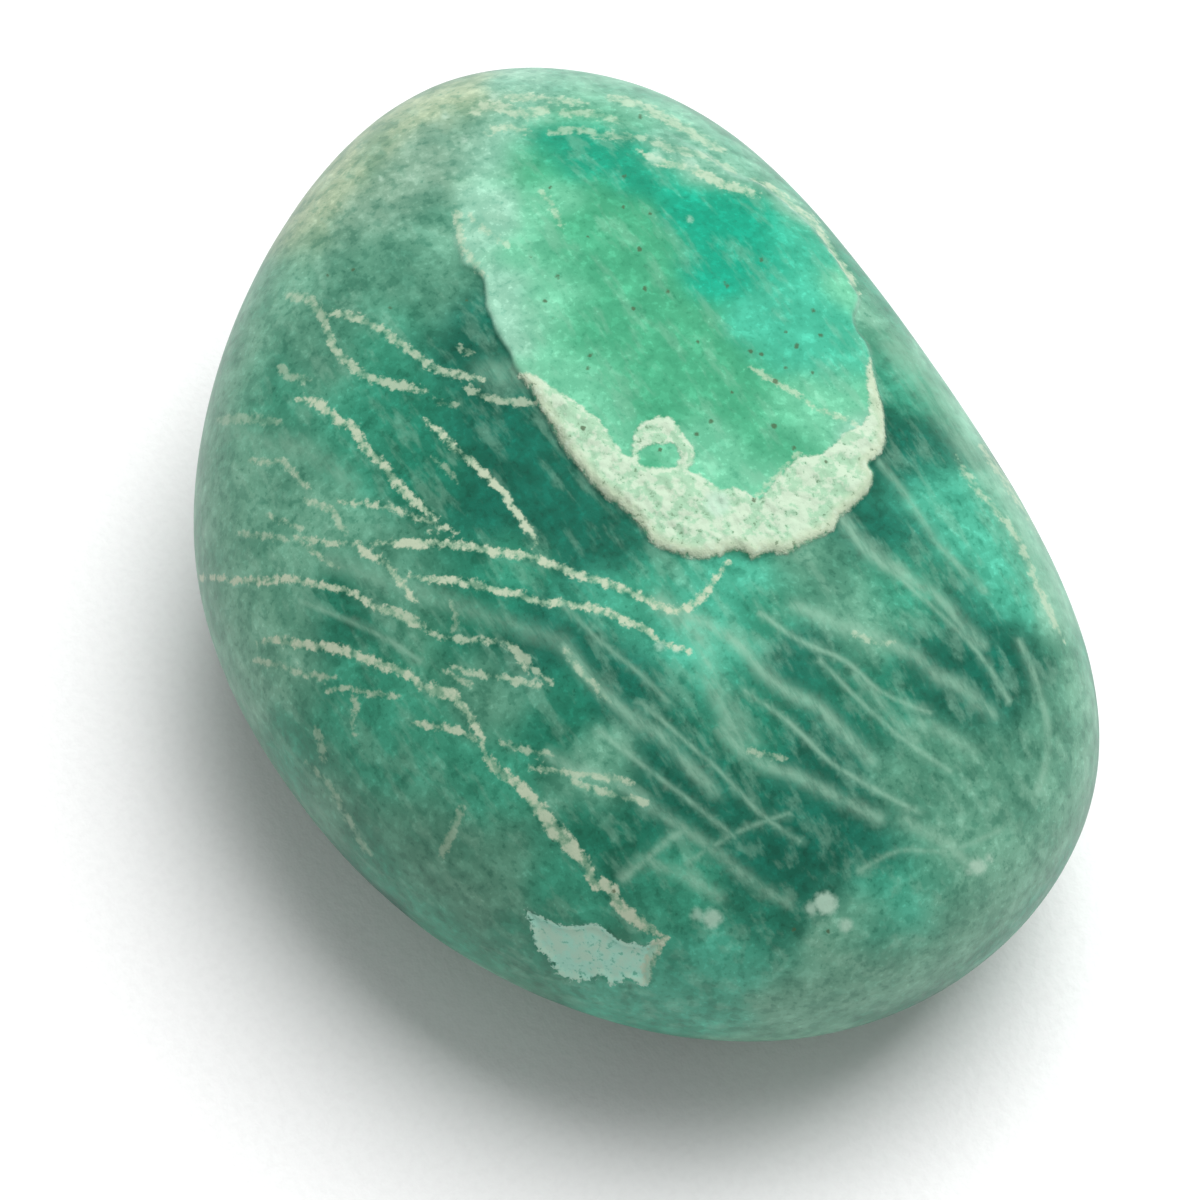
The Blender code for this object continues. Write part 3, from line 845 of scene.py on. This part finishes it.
# Mesh and flat spot
# The finished surface goes into the mesh with what each place carries, and the low side is ground flat where
# the stone rests.
VALUES = {
    "tongue": ragged_tongue / melted,
    "crust": crust_inset + GRIT_RAG * grit,
    "scar": scar_inset,
    "vein": vein_inset,
    "vein_strength": vein_strength,
    "haze": haze,
    "bright": bright_inset,
    "bright_strength": bright_strength,
    "speck": speck_inset,
}
layers = {name: stone_mesh.verts.layers.float.new(name) for name in VALUES}
body_layer = stone_mesh.verts.layers.float_color.new("body_ground")
tongue_layer = stone_mesh.verts.layers.float_color.new("tongue_ground")
for index, vertex in enumerate(stone_mesh.verts):
    vertex.co = finished[index]
    for name, layer in layers.items():
        vertex[layer] = VALUES[name][index]
    vertex[body_layer] = (*body_ground[index], 1.0)
    vertex[tongue_layer] = (*tongue_ground[index], 1.0)

SAME_POINT = 0.004 * MM
for vertex in stone_mesh.verts:
    if abs(vertex.co.z) < SAME_POINT:
        vertex.co.z = 0.0
everything = stone_mesh.verts[:] + stone_mesh.edges[:] + stone_mesh.faces[:]
bmesh.ops.bisect_plane(stone_mesh, geom=everything, dist=SAME_POINT / 10, plane_co=(0, 0, 0),
                       plane_no=(0, 0, 1), clear_inner=True)
rim = [edge for edge in stone_mesh.edges if edge.is_boundary]
bmesh.ops.holes_fill(stone_mesh, edges=rim, sides=0)
bmesh.ops.triangulate(stone_mesh, faces=[face for face in stone_mesh.faces if len(face.verts) > 3])
bmesh.ops.recalc_face_normals(stone_mesh, faces=stone_mesh.faces)

stone = bpy.data.objects.new("palm_stone", bpy.data.meshes.new("palm_stone"))
stone_mesh.to_mesh(stone.data)
stone_mesh.free()
stone.data.shade_smooth()
bpy.context.scene.collection.objects.link(stone)

# The polish
# Feldspar rubbed to a satin, waxy shine over its clouded grain; the crust and the scar stay chalkier.
CREAM = tint(200, 212, 184) + (1.0,)
CREAM_GREEN = tint(160, 192, 160) + (1.0,)
CHALK = tint(206, 224, 200) + (1.0,)
CHALK_GREEN = tint(172, 210, 178) + (1.0,)
CLOUD = tint(150, 196, 170) + (1.0,)
AQUA = tint(178, 238, 216) + (1.0,)
DARK_OLIVE = tint(70, 92, 60) + (1.0,)
GLINT = tint(190, 222, 200) + (1.0,)
SHADOW_TINT = (0.34, 0.62, 0.58, 1.0)
PALE_LIFT = (1.40, 1.28, 1.32, 1.0)
STONE_SPECULAR = 0.35
GRAIN_TURN = radians(-22.8)
STREAK_SCALE = (0.3, 1.0, 1.0)
FIBRE_SCALE = (0.16, 1.0, 1.0)

# Each noise: how many lumps to the metre, its detail and its roughness
CLOUD_NOISE = (420.0, 6.0, 0.62)
STREAK_NOISE = (900.0, 5.0, 0.6)
BLOTCH_NOISE = (1300.0, 5.0, 0.6)
FIBRE_NOISE = (1700.0, 6.0, 0.7)
GRAIN_NOISE = (2600.0, 4.0, 0.65)
DUST_NOISE = (7000.0, 2.0, 0.55)


def attribute(tree, name, socket="Fac"):
    """A value that the mesh carries."""
    made = tree.nodes.new("ShaderNodeAttribute")
    made.attribute_name = name
    return made.outputs[socket]


def calculate(tree, way, first, second):
    """One operation on two values; either may be a socket or a number."""
    made = tree.nodes.new("ShaderNodeMath")
    made.operation = way
    for socket, value in ((made.inputs[0], first), (made.inputs[1], second)):
        if isinstance(value, bpy.types.NodeSocket):
            tree.links.new(value, socket)
        else:
            socket.default_value = value
    return made.outputs[0]


def product(tree, first, second):
    """Two values multiplied."""
    return calculate(tree, "MULTIPLY", first, second)


def along_grain(tree, place, scale):
    """The places turned to the run of the grain and drawn out along it."""
    turned = add_node(tree, "ShaderNodeMapping", Rotation=(0.0, 0.0, GRAIN_TURN), Scale=scale)
    tree.links.new(place, turned.inputs["Vector"])
    return turned.outputs["Vector"]


def frayed(tree, inset, noise_value, middle, reach):
    """An inset whose edge a noise moves in and out, by a reach in millimetres about the noise's middle."""
    off_middle = calculate(tree, "SUBTRACT", noise_value, middle)
    return calculate(tree, "ADD", inset, product(tree, off_middle, reach))


def deepened(tree, share, ground):
    """The ground colour made deeper and bluer by a share."""
    return blend_colours(tree, share, ground, SHADOW_TINT, way="MULTIPLY")


def lifted(tree, share, ground):
    """The ground colour made paler by a share."""
    return blend_colours(tree, share, ground, PALE_LIFT, way="MULTIPLY")


# Each share of an effect: the value where it starts, the value where it ends, and the share at both
ON_TONGUE = (-0.10, 0.14)
TONGUE_CALM = (-0.10, 0.14, 1.0, 0.45)
CLOUD_DARK = (0.55, 0.38, 0.0, 0.55)
CLOUD_PALE = (0.52, 0.66, 0.0, 0.6)
STREAK_PALE = (0.50, 0.66, 0.0, 0.22)
BLOTCH_PALE = (0.53, 0.60, 0.0, 0.55)
BLOTCH_DARK = (0.47, 0.38, 0.0, 0.50)
GRAIN_PALE = (0.56, 0.72, 0.0, 0.60)
GRAIN_DARK = (0.44, 0.28, 0.0, 0.40)


def clouded_ground(tree, place, grain, blotch):
    """The ground colours with their clouds, streaks and mottling, which darken the clearer tongue less."""
    cloud = add_noise(tree, place, *CLOUD_NOISE)
    streak = add_noise(tree, along_grain(tree, place, STREAK_SCALE), *STREAK_NOISE)
    tongue = attribute(tree, "tongue")
    calm = rise(tree, tongue, *TONGUE_CALM)
    ground = blend_colours(tree, rise(tree, tongue, *ON_TONGUE), attribute(tree, "body_ground", "Color"),
                           attribute(tree, "tongue_ground", "Color"))
    ground = deepened(tree, product(tree, rise(tree, cloud, *CLOUD_DARK), calm), ground)
    ground = lifted(tree, rise(tree, cloud, *CLOUD_PALE), ground)
    ground = blend_colours(tree, rise(tree, streak, *STREAK_PALE), ground, CLOUD)
    ground = lifted(tree, rise(tree, blotch, *BLOTCH_PALE), ground)
    ground = deepened(tree, product(tree, calm, rise(tree, blotch, *BLOTCH_DARK)), ground)
    ground = lifted(tree, rise(tree, grain, *GRAIN_PALE), ground)
    return deepened(tree, rise(tree, grain, *GRAIN_DARK), ground)


FIBRE_PATCH = (0.36, 0.60, 0.6, 1.25)


def with_wisps(tree, ground, place):
    """The pale wisps laid over the ground, feathered along the grain; the one along the right shoulder is
    painted reflection.
    """
    fibres = add_noise(tree, along_grain(tree, place, FIBRE_SCALE), *FIBRE_NOISE)
    share = product(tree, attribute(tree, "haze"), rise(tree, fibres, *FIBRE_PATCH))
    return blend_colours(tree, share, ground, CLOUD)


# How far the scar and the crust cover the ground, and each one's frayed edge and colours
COVER = 0.9
SCAR_FRAY = (0.5, 1.1)
SCAR_EDGE = (-0.05, 0.09)
SCAR_CHALK = (0.40, 0.62, 0.0, 0.5)
SCAR_GREEN = (0.46, 0.32, 0.0, 0.7)
CRUST_FRAY = (0.5, 0.55)
CRUST_EDGE = (-0.06, 0.16)
CRUST_GREEN = (0.56, 0.44)
CRUST_CREAM = (0.9, 0.2, 0.0, 0.85)
CRUST_WHITE = (0.52, 0.66, 0.0, 0.8)
CRUST_PIT = (0.42, 0.30, 0.0, 0.6)


def with_scar(tree, ground, grain, blotch):
    """The pale flake scar laid over the ground, and how far it covers it."""
    share = rise(tree, frayed(tree, attribute(tree, "scar"), grain, *SCAR_FRAY), *SCAR_EDGE)
    colour = blend_colours(tree, rise(tree, blotch, *SCAR_CHALK), AQUA, CHALK)
    colour = blend_colours(tree, rise(tree, grain, *SCAR_GREEN), colour, JADE + (1.0,))
    return blend_colours(tree, product(tree, share, COVER), ground, colour), share


def with_crust(tree, ground, grain, blotch):
    """The white crust laid over the ground, creamier at its outer rim, and how far it covers it."""
    share = rise(tree, frayed(tree, attribute(tree, "crust"), grain, *CRUST_FRAY), *CRUST_EDGE)
    colour = blend_colours(tree, rise(tree, blotch, *CRUST_GREEN), CHALK, CHALK_GREEN)
    colour = blend_colours(tree, rise(tree, attribute(tree, "tongue"), *CRUST_CREAM), colour, CREAM)
    colour = blend_colours(tree, rise(tree, grain, *CRUST_WHITE), colour, CHALK)
    colour = blend_colours(tree, rise(tree, grain, *CRUST_PIT), colour, DARK_OLIVE)
    return blend_colours(tree, product(tree, share, COVER), ground, colour), share


VEIN_GRAIN_FRAY = (0.50, 0.60)
VEIN_BLOTCH_FRAY = (0.49, 0.55)
VEIN_EDGE = (-0.11, 0.12)
VEIN_FADE = (0.36, 0.56, 0.42, 0.88)
VEIN_CREAM = (0.42, 0.60)


def with_veins(tree, ground, grain, blotch):
    """The cream veins laid over the ground, frayed at their edges and faded in places."""
    inset = frayed(tree, attribute(tree, "vein"), grain, *VEIN_GRAIN_FRAY)
    inset = frayed(tree, inset, blotch, *VEIN_BLOTCH_FRAY)
    share = product(tree, rise(tree, inset, *VEIN_EDGE), attribute(tree, "vein_strength"))
    share = product(tree, share, rise(tree, blotch, *VEIN_FADE))
    colour = blend_colours(tree, rise(tree, blotch, *VEIN_CREAM), CREAM_GREEN, CREAM)
    return blend_colours(tree, share, ground, colour)


SPOT_FRAY = (0.52, 0.6)
SPOT_EDGE = (-0.16, 0.34, 0.0, 0.85)
SPECK_FRAY = (0.5, 0.5)
SPECK_EDGE = (-0.05, 0.07, 0.0, 0.8)


def with_spots(tree, ground, grain):
    """The bright flakes and painted glints, and the dark specks, laid over the ground."""
    spot = rise(tree, frayed(tree, attribute(tree, "bright"), grain, *SPOT_FRAY), *SPOT_EDGE)
    ground = blend_colours(tree, product(tree, spot, attribute(tree, "bright_strength")), ground, GLINT)
    speck = rise(tree, frayed(tree, attribute(tree, "speck"), grain, *SPECK_FRAY), *SPECK_EDGE)
    return blend_colours(tree, speck, ground, DARK_OLIVE)


# The shine and the fine relief, which are rougher where the stone is chalky
SCAR_CHALKINESS = 0.6
GRAIN_SHINE = (0.3, 0.7, 0.34, 0.44)
CHALK_ROUGHNESS = 0.22
GRAIN_RELIEF = 0.6
CHALK_RELIEF = 2.5
DUST_RELIEF = 0.3
RELIEF_DEPTH = 0.05 * MM
RELIEF_STRENGTH = 0.6


def polished_feldspar():
    """Polished blue-green stone with its clouds, wisps, scar, crust, veins and spots."""
    material = bpy.data.materials.new("polished_feldspar")
    material.use_nodes = True
    tree = material.node_tree
    surface = tree.nodes["Principled BSDF"]
    surface.inputs["Specular IOR Level"].default_value = STONE_SPECULAR
    place = tree.nodes.new("ShaderNodeTexCoord").outputs["Object"]
    grain = add_noise(tree, place, *GRAIN_NOISE)
    blotch = add_noise(tree, place, *BLOTCH_NOISE)
    dust = add_noise(tree, place, *DUST_NOISE)

    ground = clouded_ground(tree, place, grain, blotch)
    ground = with_wisps(tree, ground, place)
    ground, scar_share = with_scar(tree, ground, grain, blotch)
    ground, crust_share = with_crust(tree, ground, grain, blotch)
    ground = with_veins(tree, ground, grain, blotch)
    ground = with_spots(tree, ground, grain)
    tree.links.new(ground, surface.inputs["Base Color"])

    chalky = calculate(tree, "MAXIMUM", crust_share, product(tree, scar_share, SCAR_CHALKINESS))
    shine = calculate(tree, "ADD", rise(tree, grain, *GRAIN_SHINE), product(tree, chalky, CHALK_ROUGHNESS))
    tree.links.new(shine, surface.inputs["Roughness"])
    grain_relief = calculate(tree, "ADD", product(tree, chalky, CHALK_RELIEF), GRAIN_RELIEF)
    relief = calculate(tree, "ADD", product(tree, dust, DUST_RELIEF), product(tree, grain, grain_relief))
    tree.links.new(add_bump(tree, relief, RELIEF_DEPTH, RELIEF_STRENGTH), surface.inputs["Normal"])
    return material


stone.data.materials.append(polished_feldspar())
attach(stone, "root")
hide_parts(STONE)
